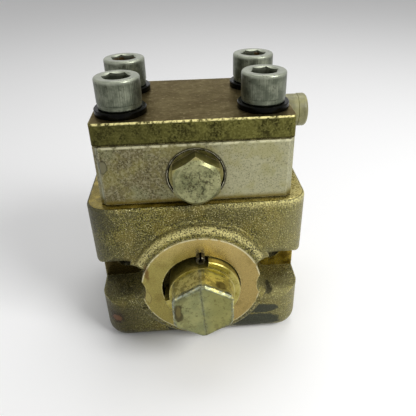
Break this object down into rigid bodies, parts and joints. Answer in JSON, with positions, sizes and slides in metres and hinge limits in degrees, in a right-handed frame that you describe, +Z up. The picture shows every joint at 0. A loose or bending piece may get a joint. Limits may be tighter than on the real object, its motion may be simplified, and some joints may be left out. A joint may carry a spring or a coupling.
{
  "type": "four-way reversing valve",
  "caption": "Manual reversing valve: cast body with a hexagon-headed quarter-turn spool, side bolt pockets, ported block and blank cover held by socket-head screws.",
  "frame": {"origin": "mouth of the port in the flat base, under the centre of the cover screw pattern", "axes": "+Z up from the base, +X to the side with the capped connection, +Y from the hexagon front to the rear mounting face"},
  "size_m": [0.1063, 0.0951, 0.1274],
  "materials": {
    "cast_plated": "rough cast, yellow-chromated",
    "spool_plated": "turned and milled, yellow-chromated",
    "block_plated": "milled, pale chromate",
    "cover_plated": "milled, brownish chromate",
    "screw_zinc": "zinc plated",
    "washer_black": "blackened spring steel",
    "pin_dark": "oiled spring steel",
    "plug_plated": "yellow-chromated",
    "inner_steel": "plain",
    "copper_washer": "dull",
    "seal_rubber": "black",
    "cap_plastic": "soft, yellowed"
  },
  "bodies": {
    "valve": {"valve_body": "cast_plated", "stop_pin": "pin_dark", "rear_plug": "plug_plated", "rear_plug_seal": "seal_rubber", "port_seal_a": "seal_rubber", "port_seal_b": "seal_rubber", "sandwich_block": "block_plated", "body_seal": "seal_rubber", "cover_seal": "seal_rubber", "block_plug": "plug_plated", "plug_washer": "copper_washer", "service_nipple": "plug_plated", "nipple_washer": "copper_washer", "port_cap": "cap_plastic", "cover_plate": "cover_plated", "cap_screw_front_left": "screw_zinc", "spring_washer_front_left": "washer_black", "cap_screw_front_right": "screw_zinc", "spring_washer_front_right": "washer_black", "cap_screw_rear_left": "screw_zinc", "spring_washer_rear_left": "washer_black", "cap_screw_rear_right": "screw_zinc", "spring_washer_rear_right": "washer_black"},
    "spool": {"rotary_spool": "spool_plated", "spool_seal_front": "seal_rubber", "spool_seal_rear": "seal_rubber", "thrust_washer": "inner_steel", "retaining_ring": "washer_black"}
  },
  "joints": [
    {"name": "spool_turn", "type": "hinge", "parent": "valve", "child": "spool", "pos_m": [0, 0, 0.037], "axis": [0, 1, 0], "range_deg": [0, 90]}
  ]
}
